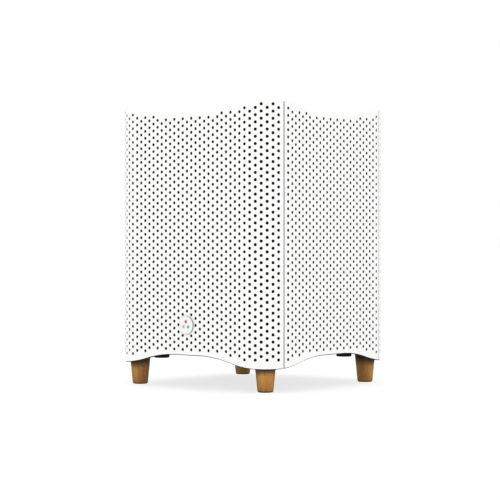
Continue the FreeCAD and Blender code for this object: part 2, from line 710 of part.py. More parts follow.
def motor_can():
    """Closed can with a bearing seat in its floor and another under its lid."""
    seat = BEARING_R + FIT
    lid, floor = MOTOR_Z1 - PLATE, MOTOR_Z0 + PLATE
    can = turned([(seat, MOTOR_Z0), (MOTOR_R, MOTOR_Z0), (MOTOR_R, MOTOR_Z1), (0, MOTOR_Z1), (0, lid),
                  (seat, lid), (seat, lid - 7.5), (14, lid - 7.5), (14, lid), (MOTOR_R - 3, lid),
                  (MOTOR_R - 3, floor), (14, floor), (14, floor + 4.5), (seat, floor + 4.5)])
    holes = [rod(SMALL_SCREW_R + FIT, lid - 1, MOTOR_Z1 + 1, x, y) for x, y in motor_screw_places()]
    return without(can, holes)


def motor_mount_solid():
    """Plate and four arms that hang the motor in the duct's neck."""
    arm = box(30, NECK_R - 1, -5, 5, MOTOR_Z1, MOTOR_Z1 + 4)
    rim = ring(NECK_R - 0.2, NECK_R - 2.7, MOTOR_Z1, NECK_Z)
    mount = joined([rod(MOTOR_R + 2, MOTOR_Z1, MOTOR_Z1 + PLATE), rim]
                   + [turned_by(arm, angle) for angle in (45, 135, 225, 315)])
    holes = [rod(SMALL_SCREW_R + 0.2, MOTOR_Z1 - 1, MOTOR_Z1 + 5, x, y) for x, y in motor_screw_places()]
    return without(mount, holes).removeSplitter()


def duct_solid():
    """Round duct round the fan that narrows to a neck, with a foot flange on the deck."""
    wide, narrow = DUCT_R + DUCT_WALL, NECK_R + DUCT_WALL
    foot = DECK_TOP + DUCT_WALL
    return turned([(DUCT_R, DECK_TOP), (DUCT_R + 8, DECK_TOP), (DUCT_R + 8, foot), (wide, foot), (wide, 313),
                   (narrow, 339), (narrow, NECK_Z), (NECK_R, NECK_Z), (NECK_R, 338), (DUCT_R, 312)])


def make_fan():
    save("impeller", impeller_solid())
    save("fan_shaft", rod(SHAFT_R, 272, 334))
    save("hub_nut", hexagon(NUT_ACROSS, 274, 280, 0, 0).cut(rod(SHAFT_R + FIT, 270, 285)))
    save("motor_rotor", ring(18, SHAFT_R + FIT, 312, 325))
    save("motor_stator", ring(34.9, 20, 311, 328))
    save("motor_housing", motor_can())
    for name, z0 in (("bearing_lower", MOTOR_Z0 + 0.5), ("bearing_upper", 328.0)):
        save(name, ring(BEARING_R, SHAFT_R + SHAFT_FIT, z0, z0 + BEARING))
    save("motor_mount", motor_mount_solid())
    screws = [screw_down(x, y, MOTOR_Z1 + 4, 9, SMALL_SCREW_R) for x, y in motor_screw_places()]
    save("motor_screws", Part.makeCompound(screws))
    save("fan_duct", duct_solid())


# ---------------------------------------------------------------- top


def cover_surface():
    """Smooth surface that is level along both middle lines and rises to each corner."""
    count = 29
    steps = [-FRAME_HALF - 2 + k * 2 * (FRAME_HALF + 2) / (count - 1) for k in range(count)]
    low = TOP_MID - COVER_DROP
    rows = [[V(x, y, low + wave(x, 1.0) * wave(y, TOP_WAVE)) for y in steps] for x in steps]
    surface = Part.BSplineSurface()
    surface.interpolate(rows)
    return surface.toShape()


def cover_solid():
    """Curved plate with a collar round the outlet and four screwed bosses underneath."""
    face = cover_surface()
    plan = rounded_square(FRAME_HALF, FRAME_R, 300, 400)
    plate = face.extrude(V(0, 0, -COVER)).common(plan).cut(rod(NECK_R, 340, 390))
    below = face.extrude(V(0, 0, -30))
    collar = ring(NECK_R + DUCT_WALL, NECK_R, NECK_Z, 390).common(below)
    places = [(sx * COVER_BOSS, sy * COVER_BOSS) for sx, sy in SIGNS]
    bosses = [rod(COVER_BOSS_R, TOP_FRAME_TOP, 390, x, y).common(below) for x, y in places]
    bores = [rod(SCREW_R + FIT, 340, TOP_FRAME_TOP + 14, x, y) for x, y in places]
    return without(joined([plate, collar] + bosses), bores)


def grille_solid():
    """Round outlet grille: rings and a middle disc on radial ribs, in a flanged collar."""
    collar_r, flange_r = NECK_R - 0.2, NECK_R + 4.5
    low, seat = GRILLE_Z - 10, GRILLE_Z - 1.7
    flange = turned([(GRILLE_R, low), (collar_r, low), (collar_r, seat), (flange_r, seat),
                     (flange_r, GRILLE_Z - 0.6), (flange_r - 0.6, GRILLE_Z), (GRILLE_R, GRILLE_Z)])
    bar = GRILLE_BAR / 2
    pitch = (GRILLE_R - GRILLE_HUB_R) / (GRILLE_RINGS + 1)
    radii = [GRILLE_HUB_R + pitch * k for k in range(1, GRILLE_RINGS + 1)]
    rings = [ring(r + bar, r - bar, GRILLE_Z - 4, GRILLE_Z - 0.3) for r in radii]
    rib = box(GRILLE_HUB_R - 4, GRILLE_R + 1, -bar, bar, GRILLE_Z - 8, GRILLE_Z - 3)
    ribs = [turned_by(rib, 360.0 * k / GRILLE_RIBS) for k in range(GRILLE_RIBS)]
    hub = rod(GRILLE_HUB_R, GRILLE_Z - 8, GRILLE_Z - 0.3)
    return joined([flange, hub] + rings + ribs).removeSplitter()


def make_top():
    save("top_cover", cover_solid())
    save("cover_screws", at_corners(lambda x, y: screw_up(x, y, TOP_FRAME_Z, 15), COVER_BOSS))
    save("outlet_grille", grille_solid())


# ---------------------------------------------------------------- button and sensor


def lamp_places():
    """(x, z) of the lamps round the button's middle."""
    angles = [math.radians(90 + 360 * k / LAMPS) for k in range(LAMPS)]
    return [(LAMP_PLACE * math.cos(a), BUTTON_Z + LAMP_PLACE * math.sin(a)) for a in angles]


def button_solid():
    """Disc in front of the shell, a barrel through it and a flange and a stem behind it."""
    front = -HALF - BUTTON_PROUD
    flange_y = -LINER_IN + 0.4
    disc = rod_y(BUTTON_R, front, front + BUTTON_CAP, 0, BUTTON_Z)
    disc = disc.makeFillet(0.5, [e for e in disc.Edges if e.BoundBox.YMax < front + 0.1])
    barrel = rod_y(BUTTON_BARREL_R, front + BUTTON_CAP, flange_y + 1.2, 0, BUTTON_Z)
    flange = rod_y(BUTTON_FLANGE_R, flange_y, flange_y + 1.2, 0, BUTTON_Z)
    stem = rod_y(2.5, flange_y + 1.2, -LINER_IN + 6, 0, BUTTON_Z)
    bores = [rod_y(LAMP_R + FIT, front - 1, front + 1.5, x, z) for x, z in lamp_places()]
    return without(joined([disc, barrel, flange, stem]), bores).removeSplitter()


def make_button():
    front = -HALF - BUTTON_PROUD
    save("power_button", button_solid())
    lamps = [rod_y(LAMP_R, front - 0.15, front + 1.5, x, z) for x, z in lamp_places()]
    save("button_lamps", Part.makeCompound(lamps))

    stop = -LINER_IN + 6 + BUTTON_TRAVEL + 0.4
    plunger = rod_y(1.7, stop, stop + 1.2, 0, BUTTON_Z)
    switch = box(-3, 3, stop + 1.2, stop + 4.8, BUTTON_Z - 3, BUTTON_Z + 3)
    save("touch_switch", plunger.fuse(switch).removeSplitter())
    board_y = stop + 4.8
    bracket_y = board_y + BOARD
    save("button_board", box(-15, 15, board_y, bracket_y, BUTTON_Z - 12, BUTTON_Z + 12))
    back = box(-16, 16, bracket_y, bracket_y + 3, SHELF_TOP, BUTTON_Z + 14)
    foot = box(-16, 16, bracket_y, bracket_y + 14.4, SHELF_TOP, SHELF_TOP + 3)
    save("button_bracket", back.fuse(foot).removeSplitter())


def make_sensor():
    """Particle sensor on the shelf behind the left side, with a round air port."""
    sensor = box(-132, -112, -52, -14, SHELF_TOP, SHELF_TOP + 38)
    port = Part.makeCylinder(5, 6, V(-133, -33, SHELF_TOP + 24), AXIS_X)
    save("particle_sensor", sensor.cut(port))


make_shell()
make_legs()
make_base()
make_power()
make_frame()
make_filter()
make_fan()
make_top()
make_button()
make_sensor()
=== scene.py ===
import json
import math

import bpy
from mathutils import Matrix, Vector


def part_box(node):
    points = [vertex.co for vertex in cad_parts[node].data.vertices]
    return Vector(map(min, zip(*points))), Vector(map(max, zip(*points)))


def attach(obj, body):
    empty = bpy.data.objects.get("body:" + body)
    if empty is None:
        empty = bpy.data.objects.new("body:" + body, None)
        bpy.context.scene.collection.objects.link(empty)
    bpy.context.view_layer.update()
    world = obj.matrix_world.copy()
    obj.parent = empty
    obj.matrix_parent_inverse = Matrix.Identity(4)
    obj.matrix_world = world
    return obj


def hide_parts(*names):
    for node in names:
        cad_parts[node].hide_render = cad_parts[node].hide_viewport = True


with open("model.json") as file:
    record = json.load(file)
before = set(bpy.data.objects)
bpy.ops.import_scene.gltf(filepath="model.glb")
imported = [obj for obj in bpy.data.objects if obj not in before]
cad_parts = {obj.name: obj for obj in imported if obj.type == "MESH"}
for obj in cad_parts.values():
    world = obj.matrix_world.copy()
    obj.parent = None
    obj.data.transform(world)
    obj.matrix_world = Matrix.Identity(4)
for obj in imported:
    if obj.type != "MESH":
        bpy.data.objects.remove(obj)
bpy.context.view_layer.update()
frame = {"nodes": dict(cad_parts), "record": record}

NODES = frame["nodes"]

# ---------------------------------------------------------------- sizes, in metres

MM = 0.001
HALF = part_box("right_panel")[1].x
SHEET = 1.0 * MM
CORNER_R = 46.0 * MM
FLAT_HALF = HALF - CORNER_R
TOP_MID = 369.7 * MM             # top edge in the middle of a face
TOP_WAVE = 13.6 * MM             # how far it rises to the corners
BOTTOM_MID = 45.9 * MM           # bottom edge in the middle of a face
BOTTOM_WAVE = 14.4 * MM          # how far it drops to the corners
CORNER_EDGE = BOTTOM_MID - BOTTOM_WAVE
WAVE_START = 21.0 * MM           # the edges' S-shaped part, from the middle of a face
WAVE_END = 127.0 * MM
SEAM_OFFSET = 23.9 * MM          # from the middle of a corner, along the outline
SEAM_GAP = 2.6 * MM

HOLE_R = 2.0 * MM
ROW_PITCH = 9.4 * MM
ROW_DATUM = 198.6 * MM           # height of row 0
FLAT_PITCH = 7.62 * MM
FLAT_COLUMNS = 12                # each side of the middle column
CORNER_PITCH = 7.86 * MM
EDGE_TOP = 5.4 * MM              # least distance from an edge to the middle of a hole
EDGE_BOTTOM = 6.8 * MM
CORNER_EDGE_BOTTOM = 8.0 * MM
SHORT_COLUMN = 11                # the column that stops short of both edges
SHORT_EDGE = 7.5 * MM
HOLE_SIDES = 16
CHAMFER = 0.22 * MM              # broken outer edges
CELL_LEAST = 0.6 * MM            # least height of a cell that an edge cuts
BLANK_LEAST = 2.0 * MM           # least width of the plain strip at an upright edge
ROWS_EACH_WAY = 20               # more rows than a column has above or below the datum
PAST_EDGE = 99                   # half-row number that lies past either edge
TINY = 1e-7

BUTTON_HOLE_R = 9.4 * MM
BUTTON_ROW = -12
BUTTON_Z = ROW_DATUM + BUTTON_ROW * ROW_PITCH

CORNER_MIDDLE = FLAT_HALF + CORNER_R * math.pi / 4
BEFORE_SEAM = CORNER_MIDDLE + SEAM_OFFSET - SEAM_GAP / 2
AFTER_SEAM = CORNER_MIDDLE - SEAM_OFFSET - SEAM_GAP / 2
WRAPPED_COLUMNS = (-4, -3, -2, -1, 0, 1, 2)
PLAIN_COLUMNS = (-4,)
PANELS = (("front_panel", 0, "housing"), ("right_panel", 90, "housing"), ("back_panel", 180, "rear_door"),
          ("left_panel", 270, "housing"))


# ---------------------------------------------------------------- camera, lights and floor

CAMERA_AZIMUTH = math.radians(39.39)
CAMERA_PITCH = math.radians(-0.226)
CAMERA_DISTANCE = 2.4005
CAMERA_ASIDE = -0.00473
CAMERA_HEIGHT = 0.1957
CAMERA_LENS = 122.89
CAMERA_SENSOR = 36.0

FLOOR_REACH = 40.0
LIGHTS = (                       # name, place, aim, size, watts
    ("key", (-1.6, -2.6, 2.4), (0, 0, 0.2), (1.6, 1.6), 8),
    ("fill", (2.6, -1.4, 1.4), (0, 0, 0.2), (1.4, 1.4), 5),
    ("top", (0.2, 0.4, 2.6), (0, 0, 0.3), (1.6, 1.6), 3),
)
VIEW_GAMMA = 0.72


def make_camera():
    """Camera that looks at the front right corner from a little above the middle of the object."""
    ahead = Vector((-math.sin(CAMERA_AZIMUTH), math.cos(CAMERA_AZIMUTH), 0))
    right = Vector((math.cos(CAMERA_AZIMUTH), math.sin(CAMERA_AZIMUTH), 0))
    data = bpy.data.cameras.new("camera")
    data.sensor_width = CAMERA_SENSOR
    data.lens = CAMERA_LENS
    camera = bpy.data.objects.new("camera", data)
    camera.location = right * CAMERA_ASIDE - ahead * CAMERA_DISTANCE + Vector((0, 0, CAMERA_HEIGHT))
    look = ahead * math.cos(CAMERA_PITCH) + Vector((0, 0, math.sin(CAMERA_PITCH)))
    camera.rotation_euler = look.to_track_quat("-Z", "Y").to_euler()
    bpy.context.scene.collection.objects.link(camera)
    bpy.context.scene.camera = camera


def area_light(name, place, aim, size, watts):
    """Soft rectangular light that faces a point."""
    data = bpy.data.lights.new(name, "AREA")
    data.shape = "RECTANGLE"
    data.size, data.size_y = size
    data.energy = watts
    light = bpy.data.objects.new(name, data)
    light.location = place
    light.rotation_euler = (Vector(aim) - Vector(place)).to_track_quat("-Z", "Y").to_euler()
    bpy.context.scene.collection.objects.link(light)


def make_stage():
    """Pale floor, white surroundings and large soft lights."""
    mesh = bpy.data.meshes.new("floor")
    corners = [(x * FLOOR_REACH, y * FLOOR_REACH, 0) for x, y in ((-1, -1), (1, -1), (1, 1), (-1, 1))]
    mesh.from_pydata(corners, [], [(0, 1, 2, 3)])
    floor = bpy.data.objects.new("floor", mesh)
    bpy.context.scene.collection.objects.link(floor)
    paint(floor, "floor_white")
    world = bpy.data.worlds.new("studio")
    bpy.context.scene.world = world
    world.use_nodes = True
    background = world.node_tree.nodes["Background"]
    background.inputs["Color"].default_value = (1.0, 1.0, 1.0, 1)
    background.inputs["Strength"].default_value = 1.0
    for light in LIGHTS:
        area_light(*light)
    bpy.context.scene.view_settings.view_transform = "Standard"
    bpy.context.scene.view_settings.gamma = VIEW_GAMMA


# ---------------------------------------------------------------- material nodes


class Shader:
    """A material with one Principled shader, and short ways to add the nodes that feed it."""

    def __init__(self, name, **fixed):
        self.material = bpy.data.materials.new(name)
        self.material.use_nodes = True
        self.tree = self.material.node_tree
        self.principled = self.tree.nodes["Principled BSDF"]
        for socket, value in fixed.items():
            self.principled.inputs[socket.replace("_", " ")].default_value = value
        self.place = self.tree.nodes.new("ShaderNodeTexCoord").outputs["Object"]

    def node(self, kind, inputs=(), **settings):
        """A new node with these settings, fed with sockets or constants."""
        made = self.tree.nodes.new("ShaderNode" + kind)
        for key, value in settings.items():
            setattr(made, key, value)
        for socket, value in dict(inputs).items():
            self.feed(value, made.inputs[socket])
        return made

    def feed(self, value, socket):
        if isinstance(value, bpy.types.NodeSocket):
            self.tree.links.new(value, socket)
        else:
            socket.default_value = value

    def stretched(self, scale):
        """Object coordinates in metres, scaled along each axis."""
        return self.node("Mapping", {"Vector": self.place, "Scale": scale}).outputs["Vector"]

    def noise(self, scale, detail=3.0, distortion=0.0):
        """Noise with this many features per metre, along all axes or along each."""
        scales = scale if isinstance(scale, tuple) else (scale,) * 3
        inputs = {"Vector": self.stretched(scales), "Scale": 1.0, "Detail": detail, "Distortion": distortion}
        return self.node("TexNoise", inputs).outputs["Fac"]

    def between(self, value, low, high, start=0.0, end=1.0):
        """A value's range from start to end, moved to the range from low to high."""
        inputs = {"Value": value, "From Min": start, "From Max": end, "To Min": low, "To Max": high}
        return self.node("MapRange", inputs).outputs["Result"]

    def math(self, operation, a, b=0.0):
        made = self.node("Math", operation=operation)
        self.feed(a, made.inputs[0])
        self.feed(b, made.inputs[1])
        return made.outputs[0]

    def mix(self, share, a, b):
        """Colour a, with this share of colour b."""
        made = self.node("Mix", data_type="RGBA")
        self.feed(share, made.inputs[0])
        for value, socket in ((a, 6), (b, 7)):
            self.feed((*value, 1.0) if isinstance(value, tuple) else value, made.inputs[socket])
        return made.outputs[2]

    def colour(self, value):
        self.tree.links.new(value, self.principled.inputs["Base Color"])

    def rough(self, value):
        self.tree.links.new(value, self.principled.inputs["Roughness"])

    def bump(self, height, strength, distance):
        """Relief from a height, which is in units of distance."""
        inputs = {"Height": height, "Strength": strength, "Distance": distance}
        made = self.node("Bump", inputs)
        self.tree.links.new(made.outputs["Normal"], self.principled.inputs["Normal"])


def moulded(name, light, dark, rough, grain=2600.0, depth=0.03, mottle=26.0):
    """Moulded plastic, paint or rubber: faint mottling, uneven gloss and a fine grain."""
    s = Shader(name)
    s.colour(s.mix(s.noise(mottle, 4.0), dark, light))
    s.rough(s.between(s.noise(mottle * 5, 3.0), *rough, 0.3, 0.7))
    s.bump(s.noise(grain, 2.0), 0.35, depth * MM)
    return s.material


def powder_coat():
    """White powder coat: a faint orange peel and slightly uneven gloss."""
    s = Shader("shell_white", Specular_IOR_Level=0.45)
    s.colour(s.mix(s.noise(14.0, 4.0), (0.90, 0.90, 0.895), (0.935, 0.935, 0.93)))
    s.rough(s.between(s.noise(160.0, 3.0), 0.36, 0.5, 0.3, 0.7))
    s.bump(s.noise(620.0, 2.0), 0.25, 0.05 * MM)
    return s.material


def wood():
    """Oiled hardwood with upright grain: growth streaks, pores and a slow change of tone, with painted shade
    where the leg is sheltered and a painted contact shadow where it enters the body."""
    s = Shader("leg_wood", Specular_IOR_Level=0.35)
    streaks = s.noise((170.0, 170.0, 9.0), 5.0, 0.6)
    pores = s.noise((900.0, 900.0, 26.0), 3.0, 0.2)
    tone = s.noise((30.0, 30.0, 12.0), 2.0)
    base = s.mix(s.between(streaks, 0.0, 1.0, 0.3, 0.7), (0.51, 0.275, 0.086), (0.73, 0.455, 0.168))
    base = s.mix(s.between(tone, 0.0, 0.6, 0.35, 0.7), base, (0.72, 0.385, 0.120))
    pore = s.between(pores, 0.0, 0.5, 0.56, 0.72)
    base = s.mix(pore, base, (0.27, 0.135, 0.045))
    # painted shade: the wood turns near black where ambient occlusion finds it sheltered, as under the body
    painted_shade_ao = s.node("AmbientOcclusion", {"Distance": 0.06}, samples=8).outputs["AO"]
    base = s.mix(s.between(painted_shade_ao, 0.0, 1.0, 0.26, 0.60), (0.045, 0.024, 0.012), base)
    # painted contact shadow: the wood darkens over its top, near the height of the sheet's bottom edge at
    # the corners
    height = s.node("SeparateXYZ", {"Vector": s.place}).outputs["Z"]
    painted_contact_shadow = s.between(height, 0.0, 1.0, CORNER_EDGE - 9.0 * MM, CORNER_EDGE + 4.0 * MM)
    s.colour(s.mix(s.math("MULTIPLY", painted_contact_shadow, 0.94), base, (0.030, 0.017, 0.010)))
    s.rough(s.between(pores, 0.42, 0.62, 0.3, 0.7))
    s.bump(s.math("SUBTRACT", streaks, pore), 0.5, 0.12 * MM)
    return s.material


def woven(name, light, dark, count, rough=0.85, depth=0.12):
    """Plain weave: upright and level threads, count per metre."""
    s = Shader(name, Sheen_Weight=0.15)
    split = s.node("SeparateXYZ", {"Vector": s.place})
    waves = [s.math("SINE", s.math("MULTIPLY", split.outputs[axis], count * 2 * math.pi)) for axis in "XZ"]
    weave = s.between(s.math("MULTIPLY", *waves), 0.0, 1.0, -1.0, 1.0)
    fuzz = s.noise(count * 3.0, 2.0)
    height = s.math("ADD", weave, s.math("MULTIPLY", fuzz, 0.5))
    s.colour(s.mix(s.between(height, 0.0, 1.0, 0.2, 1.3), dark, light))
    s.rough(s.between(fuzz, rough - 0.08, rough + 0.08))
    s.bump(height, 0.7, depth * MM)
    return s.material


def metal(name, light, dark, rough, stretch=(300.0, 300.0, 30.0)):
    """Metal with fine drawn or turned marks."""
    s = Shader(name, Metallic=1.0)
    marks = s.noise(stretch, 4.0)
    s.colour(s.mix(marks, dark, light))
    s.rough(s.between(marks, *rough, 0.3, 0.7))
    s.bump(marks, 0.2, 0.02 * MM)
    return s.material


def circuit_board():
    """Green solder mask with copper tracks under it."""
    s = Shader("circuit_board", Coat_Weight=0.4, Coat_Roughness=0.2)
    pattern = {"Vector": s.stretched((260.0, 260.0, 260.0)), "Scale": 1.0, "Mortar Size": 0.09,
               "Mortar Smooth": 0.1, "Brick Width": 0.9, "Row Height": 0.4}
    tracks = s.node("TexBrick", pattern).outputs["Fac"]
    s.colour(s.mix(tracks, (0.012, 0.085, 0.035), (0.035, 0.20, 0.07)))
    s.rough(s.between(s.noise(300.0), 0.3, 0.45))
    s.bump(tracks, 0.3, 0.04 * MM)
    return s.material


def lamp_lens():
    """Diffusing lenses of three colours: coral above, amber and teal below."""
    s = Shader("lamp_lens", Coat_Weight=0.3)
    split = s.node("SeparateXYZ", {"Vector": s.place})
    left = s.math("LESS_THAN", split.outputs["X"], 0.0)
    upper = s.math("GREATER_THAN", split.outputs["Z"], BUTTON_Z + 1.0 * MM)
    lens = s.mix(upper, s.mix(left, (0.10, 0.50, 0.40), (0.72, 0.42, 0.20)), (0.42, 0.09, 0.10))
    s.colour(s.mix(s.noise(900.0), lens, s.mix(0.25, lens, (0.9, 0.9, 0.9))))
    s.rough(s.between(s.noise(1500.0), 0.15, 0.3))
    return s.material


def button_white():
    """White satin disc, with painted shade: its rim and barrel are painted grey."""
    s = Shader("button_white")
    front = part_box("power_button")[0].y
    depth = s.node("SeparateXYZ", {"Vector": s.place}).outputs["Y"]
    # painted shade: grey on the side wall and barrel, from just behind the front face
    painted_rim_shade = s.between(depth, 0.0, 1.0, front + 0.2 * MM, front + 0.5 * MM)
    face = s.mix(s.noise(26.0, 4.0), (0.86, 0.86, 0.855), (0.90, 0.90, 0.895))
    s.colour(s.mix(painted_rim_shade, face, (0.36, 0.36, 0.37)))
    s.rough(s.between(s.noise(130.0, 3.0), 0.42, 0.56, 0.3, 0.7))
    s.bump(s.noise(2600.0, 2.0), 0.35, 0.03 * MM)
    return s.material


def floor_white():
    """Pale floor with light behind it, so that shadows on it stay faint."""
    s = Shader("floor_white", Specular_IOR_Level=0.1, Emission_Color=(1.0, 1.0, 1.0, 1.0),
               Emission_Strength=0.8)
    s.colour(s.mix(s.noise(3.0), (0.20, 0.20, 0.20), (0.21, 0.21, 0.21)))
    s.rough(s.between(s.noise(20.0), 0.8, 0.95))
    return s.material


MOULDED = {
    "cover_white": dict(light=(0.90, 0.90, 0.895), dark=(0.86, 0.86, 0.855), rough=(0.42, 0.56)),
    "frame_black": dict(light=(0.022, 0.022, 0.024), dark=(0.014, 0.014, 0.015), rough=(0.45, 0.62)),
    "seam_rubber": dict(light=(0.66, 0.67, 0.68), dark=(0.60, 0.61, 0.62), rough=(0.6, 0.75)),
    "pad_rubber": dict(light=(0.030, 0.029, 0.028), dark=(0.018, 0.018, 0.018), rough=(0.62, 0.8)),
    "electric_parts": dict(light=(0.05, 0.05, 0.055), dark=(0.025, 0.025, 0.03), rough=(0.3, 0.5)),
    "filter_cap": dict(light=(0.60, 0.62, 0.64), dark=(0.54, 0.56, 0.58), rough=(0.45, 0.6)),
    "filter_paper": dict(light=(0.86, 0.86, 0.82), dark=(0.74, 0.74, 0.70), rough=(0.85, 0.95),
                         grain=900.0, depth=0.3, mottle=90.0),
    "carbon": dict(light=(0.030, 0.030, 0.030), dark=(0.008, 0.008, 0.008), rough=(0.8, 0.95),
                   grain=500.0, depth=0.6, mottle=400.0),
    "filter_foam": dict(light=(0.05, 0.05, 0.052), dark=(0.022, 0.022, 0.024), rough=(0.85, 0.97),
                        grain=1400.0, depth=0.4, mottle=700.0),
    "fan_grey": dict(light=(0.10, 0.105, 0.11), dark=(0.07, 0.073, 0.078), rough=(0.38, 0.52)),
}
WOVEN = {
    "liner_black": dict(light=(0.010, 0.010, 0.011), dark=(0.002, 0.002, 0.002), count=700.0),
    "filter_mesh": dict(light=(0.46, 0.48, 0.50), dark=(0.10, 0.11, 0.12), count=420.0,
                        rough=0.8, depth=0.2),
    "strap_fabric": dict(light=(0.06, 0.22, 0.34), dark=(0.02, 0.09, 0.16), count=600.0,
                         rough=0.8, depth=0.2),
}
METAL = {
    "zinc_steel": dict(light=(0.72, 0.73, 0.74), dark=(0.55, 0.56, 0.58), rough=(0.28, 0.42)),
    "post_aluminium": dict(light=(0.16, 0.16, 0.17), dark=(0.09, 0.09, 0.10), rough=(0.32, 0.46)),
    "magnet_metal": dict(light=(0.78, 0.77, 0.74), dark=(0.66, 0.65, 0.62), rough=(0.15, 0.28)),
    "shaft_steel": dict(light=(0.62, 0.62, 0.63), dark=(0.48, 0.48, 0.49), rough=(0.18, 0.3)),
    "motor_metal": dict(light=(0.50, 0.50, 0.51), dark=(0.38, 0.38, 0.39), rough=(0.38, 0.52),
                        stretch=(900.0, 900.0, 900.0)),
    "motor_iron": dict(light=(0.20, 0.16, 0.13), dark=(0.10, 0.08, 0.07), rough=(0.4, 0.6),
                       stretch=(40.0, 40.0, 1600.0)),
}
OTHERS = {"floor_white": floor_white, "shell_white": powder_coat, "leg_wood": wood,
          "circuit_board": circuit_board, "lamp_lens": lamp_lens, "button_white": button_white}
OWN_FINISH = {"power_button": "button_white"}
made_materials = {}


def material(name):
    """The material of this name, made when it is first asked for."""
    if name in OTHERS and name not in made_materials:
        made_materials[name] = OTHERS[name]()
    for make, looks in ((moulded, MOULDED), (woven, WOVEN), (metal, METAL)):
        if name in looks and name not in made_materials:
            made_materials[name] = make(name, **looks[name])
    return made_materials[name]


def paint(piece, name):
    """Give the whole piece one material."""
    piece.data.materials.clear()
    piece.data.materials.append(material(name))


def soften(piece, degrees=28.0):
    """Smooth shading everywhere except across edges sharper than this."""
    piece.data.shade_smooth()
    piece.data.set_sharp_from_angle(angle=math.radians(degrees))


def paint_frame():
    """Every CAD node takes the material of its slot in the record, or its own finish."""
    for part in frame["record"]["subparts"]:
        node = NODES[part["node"]]
        paint(node, OWN_FINISH.get(part["node"], part["material_slot"]))
        soften(node)


# ---------------------------------------------------------------- perforated shell


def wave(distance, height):
    """Rise of a wavy edge: an S of two equal arcs between its two straight stretches."""
    length = WAVE_END - WAVE_START
    radius = (length ** 2 + height ** 2) / (4 * height)
    run = min(max(abs(distance) - WAVE_START, 0.0), length)
    if run < length / 2:
        return radius - math.sqrt(radius ** 2 - run ** 2)
    return height - radius + math.sqrt(radius ** 2 - (length - run) ** 2)


def across(s):
    """Distance from the middle plane of the nearer face, at s along the outline from the face's middle."""
    beyond = abs(s) - FLAT_HALF
    if beyond <= 0:
        return abs(s)
    angle = min(beyond / CORNER_R, math.pi / 2 - beyond / CORNER_R)
    return FLAT_HALF + CORNER_R * math.sin(angle)


def top_edge(s):
    """Height of the sheet's top edge."""
    return TOP_MID + wave(across(s), TOP_WAVE)


def bottom_edge(s):
    """Height of the sheet's bottom edge."""
    return BOTTOM_MID - wave(across(s), BOTTOM_WAVE)


def row_height(level):
    """Height of a half row. Whole rows have even numbers."""
    return ROW_DATUM + level * ROW_PITCH / 2


def wall_point(s, z, depth):
    """Point of the front face's sheet, wrapped round its corners, at this depth under its outer surface."""
    beyond = abs(s) - FLAT_HALF
    if beyond <= 0:
        return (s, depth - HALF, z)
    angle = beyond / CORNER_R
    radius = CORNER_R - depth
    x = math.copysign(FLAT_HALF + radius * math.sin(angle), s)
    return (x, -FLAT_HALF - radius * math.cos(angle), z)


def hole_columns(corner_columns):
    """(s, whether its holes stand on half rows) of every column from left to right."""
    columns = [(k * FLAT_PITCH, k % 2 == 1) for k in range(-FLAT_COLUMNS, FLAT_COLUMNS + 1)]
    for j in corner_columns:
        place = CORNER_MIDDLE + j * CORNER_PITCH
        columns += [(place, j % 2 == 0), (-place, j % 2 == 0)]
    return sorted(columns)


